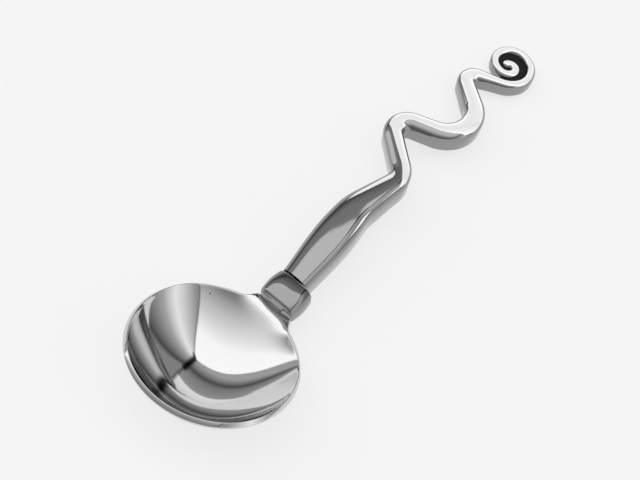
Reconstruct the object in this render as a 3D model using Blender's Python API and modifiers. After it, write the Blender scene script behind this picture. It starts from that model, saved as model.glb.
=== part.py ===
"""Sugar ladle: a pressed bowl with its tang, a collar, a cast wavy handle with a rolled scroll end,
the black fill in the scroll's groove and the bedding of the tang.

Everything is drawn with the bowl's rim level, then tipped to the way the ladle lies on a table.
"""
import math

import bmesh
import bpy
from mathutils import Matrix, Vector

MM = 0.001

# Clearance between pieces that meet
JOINT_GAP = 0.3 * MM

# Bowl, measured at the inner edge of its rim, with the neck towards +X
BOWL_RADIUS = 23.6 * MM
BOWL_DEPTH = 14.0 * MM
BOWL_WALL = 1.5 * MM
RIM_ROUNDING = 0.6 * MM
SIDE_FULLNESS = 0.1
SHOULDER_DROP = 2.9 * MM
SHOULDER_REACH = math.radians(66.0)
NECK_WIDTH = 11.0 * MM
NECK_BLEND = 6.0
NECK_ROLL_REACH = math.radians(40.0)
NECK_ROLL_START = 0.8
EDGE_DRAW = 5.0
BOWL_RINGS = 12
BOWL_SIDES = 66

# Tang: the strip of the bowl's own sheet inside collar and stem
TANG_WIDTH = 4.0 * MM
TANG_LENGTH = 28.0 * MM

# Handle axis: where it leaves the collar's front face, and its rise above the rim's plane along its length
AXIS_START_X = 26.2 * MM
AXIS_START_Y = 0.25 * MM
AXIS_START_Z = -1.4 * MM
RISE_STATIONS = (0.0, 26.0 * MM, 61.0 * MM, 96.0 * MM)
RISE_ANGLES = (math.radians(18.4), math.radians(18.0), math.radians(12.0), math.radians(5.5))

# Collar
COLLAR_LENGTH = 8.5 * MM
COLLAR_WIDTH = 12.6 * MM
COLLAR_HEIGHT = 9.4 * MM
COLLAR_WAIST = 0.5 * MM
COLLAR_EDGE = 0.7 * MM
COLLAR_SQUARENESS = 3.4
COLLAR_SIDES = 36

# Handle pattern, laid flat: corners of its centre line, along and across the axis, and the bend at each
STEM_BEND = (36.9 * MM, 3.9 * MM)
WAVE_CORNERS = (
    (54.0 * MM, 1.7 * MM),
    (68.1 * MM, 18.1 * MM),
    (79.7 * MM, -7.4 * MM),
    (97.5 * MM, 15.3 * MM),
)
SCROLL_ENTRY = (103.4 * MM, 2.7 * MM)
STEM_BEND_RADIUS = 22.0 * MM
WAVE_RADII = (3.3 * MM, 3.4 * MM, 7.1 * MM, 3.3 * MM)
SCROLL_RUN = 6.7 * MM

# Scroll: arcs that roll on from the wave's last straight, each a radius and a sweep
SCROLL_ARCS = (
    (7.4 * MM, math.radians(150.0)),
    (5.1 * MM, math.radians(185.0)),
    (2.8 * MM, math.radians(85.0)),
    (1.95 * MM, math.radians(150.0)),
)

# Handle section at the collar, the swell, the four bends, the scroll's start, its outer turn's end and its tip
SWELL_AT = 20.0 * MM
HALF_WIDTHS = (4.3 * MM, 5.5 * MM, 2.8 * MM, 2.3 * MM, 2.65 * MM, 2.05 * MM, 1.6 * MM, 1.45 * MM, 1.15 * MM)
DEPTHS = (8.7 * MM, 9.1 * MM, 8.1 * MM, 7.8 * MM, 7.6 * MM, 6.0 * MM, 4.7 * MM, 4.0 * MM, 3.6 * MM)
DOME_SHARE = 0.55
DOME_SQUARENESS = 2.4
FOOT_SHARE = 0.95
FOOT_ROUNDING = 0.5 * MM
DOME_POINTS = 13
RING_STEP = 1.1 * MM

# Scroll web: the floor of the groove, cast with the handle
WEB_THICKNESS = 1.3 * MM
WEB_RECESS = 0.15 * MM
FILL_THICKNESS = 1.1 * MM

# Bedding of the tang in the stem's socket
BEDDING_WALL = 0.6 * MM
SOCKET_DEPTH = 22.0 * MM

# Flats on which the ladle lies
FLAT_DEPTH = 0.35 * MM


def smooth_value(stations, values, at):
    """Value at a place between stations, on a smooth curve through them."""
    if at <= stations[0]:
        return values[0]
    if at >= stations[-1]:
        return values[-1]
    slopes = []
    last = len(stations) - 1
    for i in range(last + 1):
        low = max(i - 1, 0)
        high = min(i + 1, last)
        slopes.append((values[high] - values[low]) / (stations[high] - stations[low]))
    for i in range(last):
        if at <= stations[i + 1]:
            span = stations[i + 1] - stations[i]
            t = (at - stations[i]) / span
            blend = t * t * (3.0 - 2.0 * t)
            lead = span * t * (1.0 - t) * ((1.0 - t) * slopes[i] - t * slopes[i + 1])
            return values[i] + (values[i + 1] - values[i]) * blend + lead
    return values[-1]


def axis_point(along):
    """Point on the handle's arched axis, with the direction along it and the one square to it."""
    step = 0.25 * MM
    x = AXIS_START_X
    z = AXIS_START_Z
    done = 0.0
    while done < along:
        span = min(step, along - done)
        rise = smooth_value(RISE_STATIONS, RISE_ANGLES, done + span / 2.0)
        x += span * math.cos(rise)
        z += span * math.sin(rise)
        done += span
    rise = smooth_value(RISE_STATIONS, RISE_ANGLES, along)
    if along < 0.0:
        x += along * math.cos(rise)
        z += along * math.sin(rise)
    forward = Vector((math.cos(rise), 0.0, math.sin(rise)))
    up = Vector((-math.sin(rise), 0.0, math.cos(rise)))
    return Vector((x, AXIS_START_Y, z)), forward, up


def arc_points(centre, radius, start, sweep):
    """Points along an arc, without its first point."""
    count = max(4, math.ceil(abs(sweep) * radius / RING_STEP))
    count = max(count, math.ceil(abs(sweep) / math.radians(14.0)))
    points = []
    for i in range(1, count + 1):
        angle = start + sweep * i / count
        points.append(centre + radius * Vector((math.cos(angle), math.sin(angle))))
    return points


def straight_points(start, end):
    """Points from start to end, without the first."""
    count = max(1, round((end - start).length / RING_STEP))
    return [start.lerp(end, i / count) for i in range(1, count + 1)]


def stem_start():
    """Where the stem's centre line meets the collar, in the flat pattern."""
    along = COLLAR_LENGTH + JOINT_GAP
    return Vector((along, along * STEM_BEND[1] / STEM_BEND[0]))


def handle_pattern():
    """Centre line of the handle laid flat, and the lengths along it at which the section is given."""
    corners = [stem_start(), Vector(STEM_BEND)]
    corners += [Vector(corner) for corner in WAVE_CORNERS]
    corners.append(Vector(SCROLL_ENTRY))
    radii = (STEM_BEND_RADIUS,) + WAVE_RADII
    points = [corners[0]]
    middles = []
    for before, corner, after, radius in zip(corners, corners[1:], corners[2:], radii):
        back = (before - corner).normalized()
        on = (after - corner).normalized()
        half = back.angle(on) / 2.0
        centre = corner + (back + on).normalized() * (radius / math.sin(half))
        enter = corner + back * (radius / math.tan(half))
        points += straight_points(points[-1], enter)
        first = enter - centre
        side = 1.0 if back.cross(on) < 0.0 else -1.0
        sweep = side * (math.pi - 2.0 * half)
        arc = arc_points(centre, radius, math.atan2(first.y, first.x), sweep)
        middles.append(len(points) + len(arc) // 2 - 1)
        points += arc
    heading = (corners[-1] - corners[-2]).normalized()
    points += straight_points(points[-1], points[-1] + heading * SCROLL_RUN)
    turn_ends = [len(points) - 1]
    for radius, sweep in SCROLL_ARCS:
        centre = points[-1] + radius * Vector((-heading.y, heading.x))
        start = math.atan2(-heading.x, heading.y)
        points += arc_points(centre, radius, start, sweep)
        heading = Matrix.Rotation(sweep, 2) @ heading
        turn_ends.append(len(points) - 1)
    lengths = [0.0]
    for a, b in zip(points, points[1:]):
        lengths.append(lengths[-1] + (b - a).length)
    marks = [0.0, SWELL_AT] + [lengths[i] for i in middles[1:]]
    marks += [lengths[turn_ends[0]], lengths[turn_ends[1]], lengths[-1]]
    return points, lengths, marks, turn_ends


def section_points(half_width, depth):
    """Section of the handle: a domed top on steep walls with a flat foot, across and up from its middle."""
    dome = depth * DOME_SHARE
    base = depth / 2.0 - dome
    points = []
    for i in range(DOME_POINTS):
        angle = math.pi * i / (DOME_POINTS - 1)
        across = math.copysign(abs(math.cos(angle)) ** (2.0 / DOME_SQUARENESS), math.cos(angle))
        up = math.sin(angle) ** (2.0 / DOME_SQUARENESS)
        points.append((half_width * across, base + dome * up))
    foot = half_width * FOOT_SHARE
    low = -depth / 2.0
    points.append((-foot, low + FOOT_ROUNDING))
    points.append((-foot + FOOT_ROUNDING, low))
    points.append((foot - FOOT_ROUNDING, low))
    points.append((foot, low + FOOT_ROUNDING))
    return points


def handle_rings(growth):
    """Sections along the handle's centre line; growth widens them, for a cutter that leaves a gap."""
    points, lengths, marks, _ = handle_pattern()
    rings = []
    last = len(points) - 1
    for i, point in enumerate(points):
        run = (points[min(i + 1, last)] - points[max(i - 1, 0)]).normalized()
        if i == 0:
            run = Vector((1.0, 0.0))
        half_width = smooth_value(marks, HALF_WIDTHS, lengths[i])
        depth = smooth_value(marks, DEPTHS, lengths[i])
        rings.append(place_section(point, run, half_width + growth, depth + 2.0 * growth))
    tip = points[-1]
    run = (points[-1] - points[-2]).normalized()
    for turn in (30.0, 55.0, 75.0):
        angle = math.radians(turn)
        half_width = (HALF_WIDTHS[-1] + growth) * math.cos(angle)
        depth = (DEPTHS[-1] + 2.0 * growth) * (0.75 + 0.25 * math.cos(angle))
        reach = (HALF_WIDTHS[-1] + growth) * math.sin(angle)
        rings.append(place_section(tip + run * reach, run, half_width, depth))
    return rings


def place_section(point, run, half_width, depth):
    """One section, set square to the centre line on the arched axis."""
    origin, forward, up = axis_point(point.x)
    origin = origin + Vector((0.0, point.y, 0.0))
    across = Vector((0.0, 1.0, 0.0)) * run.x - forward * run.y
    foot_room = FOOT_ROUNDING / FOOT_SHARE
    return [origin + across * a + up * b for a, b in section_points(max(half_width, foot_room), depth)]


def mesh_object(name, bm, collection):
    """New object from a bmesh, with its faces pointing out."""
    bmesh.ops.recalc_face_normals(bm, faces=bm.faces)
    mesh = bpy.data.meshes.new(name)
    bm.to_mesh(mesh)
    bm.free()
    obj = bpy.data.objects.new(name, mesh)
    collection.objects.link(obj)
    return obj


def loft(name, rings, collection):
    """Closed solid through rings of equal count, with flat ends."""
    bm = bmesh.new()
    loops = [[bm.verts.new(point) for point in ring] for ring in rings]
    count = len(loops[0])
    for low, high in zip(loops, loops[1:]):
        for i in range(count):
            j = (i + 1) % count
            bm.faces.new((low[i], low[j], high[j], high[i]))
    bm.faces.new(loops[0])
    bm.faces.new(loops[-1])
    return mesh_object(name, bm, collection)


def prism(name, outline, up, thickness, collection):
    """Closed solid: a flat outline raised along up."""
    bm = bmesh.new()
    face = bm.faces.new([bm.verts.new(point) for point in outline])
    raised = bmesh.ops.extrude_face_region(bm, geom=[face])
    top = [item for item in raised["geom"] if isinstance(item, bmesh.types.BMVert)]
    bmesh.ops.translate(bm, verts=top, vec=up * thickness)
    return mesh_object(name, bm, collection)


def tang_frame():
    """Start of the tang's middle line at the neck's end, and its directions along, across and up."""
    _, forward, up = axis_point(0.0)
    heading = math.atan2(STEM_BEND[1], STEM_BEND[0])
    along = forward * math.cos(heading) + Vector((0.0, math.sin(heading), 0.0))
    across = up.cross(along)
    start = Vector((neck_end(), 0.0, 0.0)) - up * (BOWL_WALL / 2.0)
    return start, along, across, up


def tang_block(name, width, height, start, end, collection):
    """Box about the tang's middle line, between two distances from the neck's end."""
    origin, along, across, up = tang_frame()
    bm = bmesh.new()
    bmesh.ops.create_cube(bm, size=1.0)
    shape = Matrix((along, across, up)).transposed().to_4x4()
    shape.translation = origin + along * (start + end) / 2.0
    size = Matrix.Diagonal((end - start, width, height, 1.0))
    bmesh.ops.transform(bm, matrix=shape @ size, verts=bm.verts)
    return mesh_object(name, bm, collection)


def neck_end():
    """Distance from the bowl's middle to the end of its neck, just short of the collar's front face."""
    _, forward, up = axis_point(0.0)
    rise_to_rim = -AXIS_START_Z / up.z
    return AXIS_START_X + up.x * rise_to_rim - JOINT_GAP / forward.x


def bowl_outline(angle):
    """Radius of the bowl's inner edge at an angle from the neck."""
    turn = abs(angle)
    body = BOWL_RADIUS
    if turn < SHOULDER_REACH:
        body -= SHOULDER_DROP * (1.0 + math.cos(math.pi * turn / SHOULDER_REACH)) / 2.0
    if turn > math.pi / 2.0:
        return body
    strip = NECK_WIDTH / 2.0 / max(math.sin(turn), 1e-6)
    if strip > 2.0 * BOWL_RADIUS:
        return neck_end() / math.cos(turn)
    joined = (body ** NECK_BLEND + strip ** NECK_BLEND) ** (1.0 / NECK_BLEND)
    return min(joined, neck_end() / math.cos(turn))


def bowl_drop(share, angle):
    """Depth of the bowl's inner face at a share of the way from its middle to its edge."""
    sphere = (BOWL_RADIUS ** 2 + BOWL_DEPTH ** 2) / (2.0 * BOWL_DEPTH)
    round_drop = math.sqrt(sphere ** 2 - (share * BOWL_RADIUS) ** 2) - (sphere - BOWL_DEPTH)
    full_drop = BOWL_DEPTH * math.sqrt(max(1.0 - share ** 2, 0.0))
    fullness = SIDE_FULLNESS * math.sin(angle) ** 2
    round_drop += (full_drop - round_drop) * fullness
    turn = abs(angle)
    if turn > NECK_ROLL_REACH or share < NECK_ROLL_START:
        return round_drop
    reach = 1.0 - NECK_ROLL_START
    roll = (share - NECK_ROLL_START) / reach
    base = math.sqrt(sphere ** 2 - (NECK_ROLL_START * BOWL_RADIUS) ** 2)
    fall = NECK_ROLL_START * BOWL_RADIUS ** 2 / base * reach
    neck_drop = (base - sphere + BOWL_DEPTH) * (1.0 - roll ** 2 * (3.0 - 2.0 * roll))
    neck_drop -= fall * roll * (1.0 - roll) ** 2
    corner = math.atan2(NECK_WIDTH / 2.0, neck_end())
    spread = max(turn - corner, 0.0) / (NECK_ROLL_REACH - corner)
    weight = (1.0 + math.cos(math.pi * spread)) / 2.0
    return round_drop * (1.0 - weight) + neck_drop * weight


def bowl_angles():
    """Angles round the bowl: a few across the neck's end, with the tang's sides among them, then the edge."""
    end = neck_end()
    tang = math.atan2(TANG_WIDTH / 2.0, end)
    corner = tang
    while bowl_outline(corner) * math.cos(corner) > end - 1e-9:
        corner += math.radians(0.02)
    across = [-corner, -tang, -tang / 3.0, tang / 3.0, tang, corner]
    sweep = 2.0 * math.pi - 2.0 * corner
    edge = []
    for i in range(1, BOWL_SIDES):
        share = i / BOWL_SIDES
        crowd = share - 0.8 * math.sin(2.0 * math.pi * share) / (2.0 * math.pi)
        angle = corner + sweep * crowd
        edge.append(angle if angle <= math.pi else angle - 2.0 * math.pi)
    return across + edge


def make_bowl(collection):
    """Bowl: its inner face, drawn out into the tang, thickened to the sheet's wall and rounded at the rim."""
    angles = bowl_angles()
    bm = bmesh.new()
    middle = bm.verts.new((0.0, 0.0, -BOWL_DEPTH))
    rings = []
    for ring in range(1, BOWL_RINGS + 1):
        share = ring / BOWL_RINGS
        loop = []
        for angle in angles:
            radius = BOWL_RADIUS * share + (bowl_outline(angle) - BOWL_RADIUS) * share ** EDGE_DRAW
            place = (radius * math.cos(angle), radius * math.sin(angle), -bowl_drop(share, angle))
            loop.append(bm.verts.new(place))
        rings.append(loop)
    count = len(angles)
    for i in range(count):
        bm.faces.new((middle, rings[0][i], rings[0][(i + 1) % count]))
    for low, high in zip(rings, rings[1:]):
        for i in range(count):
            j = (i + 1) % count
            bm.faces.new((low[i], high[i], high[j], low[j]))
    _, along, _, _ = tang_frame()
    tang_edges = [bm.edges.get((rings[-1][i], rings[-1][i + 1])) for i in (1, 2, 3)]
    drawn = bmesh.ops.extrude_edge_only(bm, edges=tang_edges)
    ends = [item for item in drawn["geom"] if isinstance(item, bmesh.types.BMVert)]
    bmesh.ops.translate(bm, verts=ends, vec=along * TANG_LENGTH)
    bmesh.ops.recalc_face_normals(bm, faces=bm.faces)
    mesh = bpy.data.meshes.new("bowl")
    bm.to_mesh(mesh)
    bm.free()
    if mesh.polygons[0].normal.z < 0.0:
        mesh.flip_normals()
    bowl = bpy.data.objects.new("bowl", mesh)
    collection.objects.link(bowl)
    wall = bowl.modifiers.new("wall", "SOLIDIFY")
    wall.thickness = BOWL_WALL
    wall.offset = -1.0
    wall.use_even_offset = True
    rim = bowl.modifiers.new("rim", "BEVEL")
    rim.width = RIM_ROUNDING
    rim.segments = 2
    rim.limit_method = "ANGLE"
    rim.angle_limit = math.radians(50.0)
    return bowl


def make_collar(collection, cutters):
    """Collar: a pillow-shaped block on the handle's axis, slotted for the tang."""
    rings = []
    ends = (0.0, 0.35, 1.0)
    stations = [COLLAR_EDGE * share for share in ends]
    stations += [COLLAR_LENGTH * share for share in (0.3, 0.5, 0.7)]
    stations += [COLLAR_LENGTH - COLLAR_EDGE * share for share in reversed(ends)]
    for along in stations:
        inset = min(along, COLLAR_LENGTH - along)
        bulge = COLLAR_WAIST * (1.0 - math.sin(math.pi * along / COLLAR_LENGTH))
        if inset < COLLAR_EDGE:
            bulge += COLLAR_EDGE * (1.0 - math.sqrt(1.0 - (1.0 - inset / COLLAR_EDGE) ** 2))
        origin, _, up = axis_point(along)
        ring = []
        for i in range(COLLAR_SIDES):
            angle = 2.0 * math.pi * i / COLLAR_SIDES
            power = 2.0 / COLLAR_SQUARENESS
            across = math.copysign(abs(math.cos(angle)) ** power, math.cos(angle))
            rise = math.copysign(abs(math.sin(angle)) ** power, math.sin(angle))
            side = (COLLAR_WIDTH / 2.0 - bulge) * across
            ring.append(origin + Vector((0.0, side, 0.0)) + up * (COLLAR_HEIGHT / 2.0 - bulge) * rise)
        rings.append(ring)
    collar = loft("collar", rings, collection)
    width = TANG_WIDTH + 2.0 * JOINT_GAP
    height = BOWL_WALL + 2.0 * JOINT_GAP
    slot = tang_block("collar_slot", width, height, -COLLAR_LENGTH, 2.0 * COLLAR_LENGTH, cutters)
    cut(collar, slot, "DIFFERENCE")
    return collar


def scroll_outline(turn_start, turn_end, up_shift):
    """Points of the handle's centre line round the scroll, raised from its underside."""
    points, lengths, marks, _ = handle_pattern()
    outline = []
    for point in points[turn_start:turn_end + 1]:
        origin, _, up = axis_point(point.x)
        outline.append(origin + Vector((0.0, point.y, 0.0)) + up * up_shift)
    return outline


def scroll_floor():
    """Height of the scroll's underside from its centre line."""
    return -DEPTHS[-2] / 2.0


def make_handle(collection, cutters):
    """Handle: the lofted casting with the web that closes the scroll's groove below and the tang's socket."""
    handle = loft("handle", handle_rings(0.0), collection)
    _, _, _, turns = handle_pattern()
    outline = scroll_outline(turns[0], turns[2], scroll_floor() + WEB_RECESS)
    _, _, up = axis_point(SCROLL_ENTRY[0])
    web = prism("scroll_web", outline, up, WEB_THICKNESS, cutters)
    cut(handle, web, "UNION")
    wide = TANG_WIDTH + 4.0 * JOINT_GAP + 2.0 * BEDDING_WALL
    high = BOWL_WALL + 4.0 * JOINT_GAP + 2.0 * BEDDING_WALL
    socket = tang_block("tang_socket", wide, high, -COLLAR_LENGTH, COLLAR_LENGTH + SOCKET_DEPTH, cutters)
    cut(handle, socket, "DIFFERENCE")
    return handle


def make_scroll_fill(collection, cutters):
    """Black fill: a plate in the scroll, cut back all round from the turns of the groove."""
    _, _, _, turns = handle_pattern()
    lift = scroll_floor() + WEB_RECESS + WEB_THICKNESS + JOINT_GAP
    outline = scroll_outline(turns[0], turns[2], lift)
    _, _, up = axis_point(SCROLL_ENTRY[0])
    fill = prism("scroll_fill", outline, up, FILL_THICKNESS, collection)
    turns_cutter = loft("scroll_turns", handle_rings(JOINT_GAP), cutters)
    cut(fill, turns_cutter, "DIFFERENCE")
    return fill


def make_bedding(collection, cutters):
    """Bedding: a sleeve that fills the stem's socket round the tang."""
    wide = TANG_WIDTH + 2.0 * JOINT_GAP + 2.0 * BEDDING_WALL
    high = BOWL_WALL + 2.0 * JOINT_GAP + 2.0 * BEDDING_WALL
    start = COLLAR_LENGTH + 5.0 * JOINT_GAP
    end = COLLAR_LENGTH + SOCKET_DEPTH - JOINT_GAP
    bedding = tang_block("tang_bedding", wide, high, start, end, collection)
    width = TANG_WIDTH + 2.0 * JOINT_GAP
    height = BOWL_WALL + 2.0 * JOINT_GAP
    slot = tang_block("bedding_slot", width, height, 0.0, TANG_LENGTH + JOINT_GAP, cutters)
    cut(bedding, slot, "DIFFERENCE")
    return bedding


def cut(target, tool, operation):
    """Boolean of one solid with another; the tool stays as a hidden wire."""
    tool.hide_render = True
    tool.display_type = "WIRE"
    boolean = target.modifiers.new(tool.name, "BOOLEAN")
    boolean.operation = operation
    boolean.solver = "EXACT"
    boolean.object = tool


def paint(obj, colour, roughness, metallic):
    """Give a piece its own material."""
    material = bpy.data.materials.new(obj.name)
    material.use_nodes = True
    shader = material.node_tree.nodes["Principled BSDF"]
    shader.inputs["Base Color"].default_value = (*colour, 1.0)
    shader.inputs["Roughness"].default_value = roughness
    shader.inputs["Metallic"].default_value = metallic
    obj.data.materials.append(material)
    obj.data.shade_smooth()
    obj.data.set_sharp_from_angle(angle=math.radians(40.0))


def finished_points(objects):
    """Corners of the pieces as finished, in the world."""
    bpy.context.view_layer.update()
    depsgraph = bpy.context.evaluated_depsgraph_get()
    corners = []
    for obj in objects:
        evaluated = obj.evaluated_get(depsgraph)
        mesh = evaluated.to_mesh()
        corners += [evaluated.matrix_world @ vertex.co for vertex in mesh.vertices]
        evaluated.to_mesh_clear()
    return corners


def lowest(points, tilt):
    """Height of the lowest point once the ladle is tipped."""
    down = Vector((-math.sin(tilt), 0.0, math.cos(tilt)))
    return min(down.dot(point) for point in points)


def rest_tilt(bowl, handle):
    """Angle to tip the ladle by, so that bowl and scroll both touch the table, and the height they touch at."""
    bowl_points = finished_points([bowl])
    handle_points = finished_points([handle])
    low = 0.0
    high = math.radians(40.0)
    for _ in range(30):
        tilt = (low + high) / 2.0
        if lowest(handle_points, tilt) > lowest(bowl_points, tilt):
            low = tilt
        else:
            high = tilt
    return low, lowest(bowl_points, low)


def lay_on_table(pieces, bowl, handle, collection, cutters):
    """Tip the pieces to their rest, dress the two flats and put the origin under the middle of the ladle."""
    tilt, reach = rest_tilt(bowl, handle)
    floor_height = reach + FLAT_DEPTH
    origin = bpy.data.objects.new("ladle_origin", None)
    tipped = bpy.data.objects.new("ladle_tilt", None)
    collection.objects.link(origin)
    collection.objects.link(tipped)
    tipped.parent = origin
    tipped.rotation_euler = (0.0, tilt, 0.0)
    for obj in list(pieces) + list(cutters.objects):
        obj.parent = tipped
    bm = bmesh.new()
    bmesh.ops.create_cube(bm, size=1.0)
    span = 8.0 * (BOWL_RADIUS + WAVE_CORNERS[-1][0])
    drop = BOWL_DEPTH
    shape = Matrix.Translation((0.0, 0.0, floor_height - drop / 2.0)) @ Matrix.Diagonal((span, span, drop, 1.0))
    bmesh.ops.transform(bm, matrix=shape, verts=bm.verts)
    table = mesh_object("table_cut", bm, cutters)
    table.parent = origin
    cut(bowl, table, "DIFFERENCE")
    cut(handle, table, "DIFFERENCE")
    corners = finished_points(pieces)
    middle_x = (min(corner.x for corner in corners) + max(corner.x for corner in corners)) / 2.0
    middle_y = (min(corner.y for corner in corners) + max(corner.y for corner in corners)) / 2.0
    origin.location = (-middle_x, -middle_y, -floor_height)


def main():
    """Build the ladle."""
    for obj in list(bpy.data.objects):
        bpy.data.objects.remove(obj)
    collection = bpy.data.collections.new("sugar_ladle")
    cutters = bpy.data.collections.new("cutters")
    bpy.context.scene.collection.children.link(collection)
    bpy.context.scene.collection.children.link(cutters)
    bowl = make_bowl(collection)
    collar = make_collar(collection, cutters)
    handle = make_handle(collection, cutters)
    fill = make_scroll_fill(collection, cutters)
    bedding = make_bedding(collection, cutters)
    paint(bowl, (0.78, 0.78, 0.79), 0.07, 1.0)
    paint(collar, (0.74, 0.74, 0.75), 0.08, 1.0)
    paint(handle, (0.75, 0.75, 0.76), 0.08, 1.0)
    paint(fill, (0.01, 0.01, 0.01), 0.45, 0.0)
    paint(bedding, (0.55, 0.53, 0.48), 0.8, 0.0)
    lay_on_table((bowl, collar, handle, fill, bedding), bowl, handle, collection, cutters)


main()
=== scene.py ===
"""Sugar ladle dressed for its picture.

A pressed bowl, a collar and a cast handle that waves and ends in a scroll, all polished bright, with black fill
in the scroll's groove. The ladle lies on a pale floor under soft studio light.
"""
import logging
import math
from dataclasses import dataclass, field
from enum import Enum

import bmesh
import bpy
from mathutils import Matrix, Vector


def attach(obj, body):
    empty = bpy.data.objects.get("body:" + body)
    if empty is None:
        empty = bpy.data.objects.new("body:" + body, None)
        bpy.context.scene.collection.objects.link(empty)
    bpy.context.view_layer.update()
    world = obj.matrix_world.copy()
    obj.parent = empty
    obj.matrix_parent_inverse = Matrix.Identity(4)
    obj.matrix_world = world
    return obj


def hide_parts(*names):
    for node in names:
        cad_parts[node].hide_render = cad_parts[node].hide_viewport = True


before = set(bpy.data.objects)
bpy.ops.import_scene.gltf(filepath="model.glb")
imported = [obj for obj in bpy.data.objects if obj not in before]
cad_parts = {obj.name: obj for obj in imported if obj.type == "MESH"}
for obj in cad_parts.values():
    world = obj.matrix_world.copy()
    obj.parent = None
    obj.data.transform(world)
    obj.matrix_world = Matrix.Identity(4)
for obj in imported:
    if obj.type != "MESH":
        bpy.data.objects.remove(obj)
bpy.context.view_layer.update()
LOG = logging.getLogger("sugar_ladle")
MM = 0.001
BODY = "root"
SHARP_EDGE = math.radians(55.0)


class Slot(Enum):
    """Material slots of the record."""

    BOWL_STEEL = "bowl_steel"
    CAST_METAL = "cast_metal"
    BLACK_FILL = "black_fill"


def smooth_step(share: float) -> float:
    """Ease a share between 0 and 1 in and out."""
    return share * share * (3.0 - 2.0 * share)


def clamped(share: float) -> float:
    """Hold a share between 0 and 1."""
    return min(max(share, 0.0), 1.0)


def squared_off(value: float, squareness: float) -> float:
    """Push a sine or cosine outwards, so that a round section turns squarer.

    Args:
        value: The sine or cosine.
        squareness: 2 for a round section, more for a squarer one.

    Returns:
        The pushed value, with its sign kept.
    """
    return math.copysign(abs(value) ** (2.0 / squareness), value)


def smooth_value(stations: tuple[float, ...], values: tuple[float, ...], at: float) -> float:
    """Read a smooth curve through stations.

    Args:
        stations: Places along the curve, rising.
        values: Value at each station.
        at: Place to read.

    Returns:
        The value there, held constant past both ends.
    """
    if at <= stations[0]:
        return values[0]
    if at >= stations[-1]:
        return values[-1]
    last = len(stations) - 1
    slopes = []
    for i in range(last + 1):
        low = max(i - 1, 0)
        high = min(i + 1, last)
        slopes.append((values[high] - values[low]) / (stations[high] - stations[low]))
    i = next(k for k in range(last) if at <= stations[k + 1])
    span = stations[i + 1] - stations[i]
    t = (at - stations[i]) / span
    blend = smooth_step(t)
    lead = span * t * (1.0 - t) * ((1.0 - t) * slopes[i] - t * slopes[i + 1])
    return values[i] + (values[i + 1] - values[i]) * blend + lead


@dataclass(frozen=True)
class Placement:
    """How the ladle, drawn with its rim level, lies on the floor.

    A shrink by the box clearance keeps the smoothed pieces inside the solids' box. It stands for nothing real.
    """

    tilt: float = math.radians(15.0558)
    shift: tuple[float, float, float] = (-59.2305 * MM, 0.0, 15.5784 * MM)
    box_clearance: float = 0.0015

    def matrix(self) -> Matrix:
        """Turn, shift and shrink from the level frame to the floor's frame."""
        shrink = Matrix.Scale(1.0 - self.box_clearance, 4)
        return shrink @ Matrix.Translation(self.shift) @ Matrix.Rotation(self.tilt, 4, "Y")


@dataclass
class HandleAxis:
    """Arched line that collar and handle follow, in the ladle's middle plane."""

    start: tuple[float, float, float] = (26.2 * MM, 0.25 * MM, -1.4 * MM)
    stations: tuple[float, ...] = (0.0, 26.0 * MM, 61.0 * MM, 96.0 * MM)
    rises: tuple[float, ...] = (18.4, 18.0, 12.0, 5.5)
    step: float = 0.25 * MM
    reach: float = 130.0 * MM
    line: list[Vector] = field(default_factory=list)

    def __post_init__(self) -> None:
        """Walk along the arch once and keep its points."""
        place = Vector(self.start)
        self.line = [place.copy()]
        for i in range(int(self.reach / self.step)):
            rise = self.rise((i + 0.5) * self.step)
            place += self.step * Vector((math.cos(rise), 0.0, math.sin(rise)))
            self.line.append(place.copy())

    def rise(self, along: float) -> float:
        """Slope of the axis above the rim's plane, in radians."""
        return math.radians(smooth_value(self.stations, self.rises, along))

    def at(self, along: float) -> tuple[Vector, Vector, Vector]:
        """Frame of the axis.

        Args:
            along: Distance from the collar's front face.

        Returns:
            The point, the direction along and the direction square to it, upwards.
        """
        rise = self.rise(along)
        forward = Vector((math.cos(rise), 0.0, math.sin(rise)))
        up = Vector((-math.sin(rise), 0.0, math.cos(rise)))
        if along <= 0.0:
            return self.line[0] + forward * along, forward, up
        count = min(int(along / self.step), len(self.line) - 2)
        point = self.line[count].lerp(self.line[count + 1], along / self.step - count)
        return point, forward, up


def loop_in_order(verts: list[bmesh.types.BMVert]) -> list[bmesh.types.BMVert]:
    """Vertices of one closed ring, in the order of their edges."""
    ring = set(verts)
    loop = [verts[0]]
    before = None
    while len(loop) < len(verts):
        ahead = [e.other_vert(loop[-1]) for e in loop[-1].link_edges]
        step = next(v for v in ahead if v in ring and v is not before and v not in loop[-2:])
        before = loop[-1]
        loop.append(step)
    return loop


def draw_out(bm: bmesh.types.BMesh, loop: list[bmesh.types.BMVert]) -> list[bmesh.types.BMVert]:
    """Extrude a closed ring of edges.

    Args:
        bm: Mesh that holds the ring.
        loop: The ring's vertices in order.

    Returns:
        The new ring's vertices, in the same order.
    """
    edges = [bm.edges.get((a, b)) for a, b in zip(loop, loop[1:] + loop[:1])]
    drawn = bmesh.ops.extrude_edge_only(bm, edges=edges)["geom"]
    fresh = {item for item in drawn if isinstance(item, bmesh.types.BMVert)}
    return [next(e.other_vert(v) for e in v.link_edges if e.other_vert(v) in fresh) for v in loop]


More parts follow.
